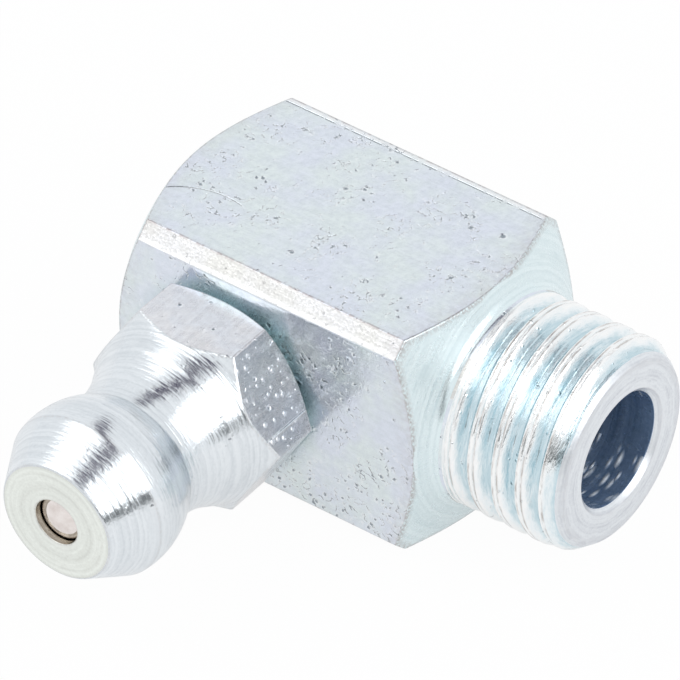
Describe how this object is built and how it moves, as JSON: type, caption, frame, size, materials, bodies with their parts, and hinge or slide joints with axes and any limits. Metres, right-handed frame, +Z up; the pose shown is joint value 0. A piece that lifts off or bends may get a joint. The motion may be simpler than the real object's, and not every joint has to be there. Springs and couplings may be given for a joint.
{
  "type": "grease nipple",
  "caption": "Right-angle grease nipple: square elbow with a short threaded shank, hexagon head with a ball-shaped coupler end and a sprung check ball.",
  "frame": {"origin": "on the thread axis, where the shoulder cone runs out on the shank", "axes": "+X along the thread and out of its end, -Y out along the nipple head, +Z up; the square elbow lies on its lower flat"},
  "size_m": [0.0182, 0.019, 0.0094],
  "materials": {
    "plated_body": "zinc plated, satin with drawn marks and a pale blue passivation",
    "plated_head": "zinc plated over a turned surface",
    "ball_steel": "polished ball",
    "spring_steel": "drawn spring wire"
  },
  "bodies": {
    "nipple": {"elbow_body": "plated_body", "nipple_head": "plated_head", "ball_spring": "spring_steel"},
    "valve_ball": {"check_ball": "ball_steel"}
  },
  "joints": [
    {"name": "ball_lift", "type": "slide", "parent": "nipple", "child": "valve_ball", "axis": [0, 1, 0], "range_m": [0, 0.0012], "stiffness_N_per_m": 300, "springref_m": -0.002, "deforming": ["ball_spring"]}
  ]
}
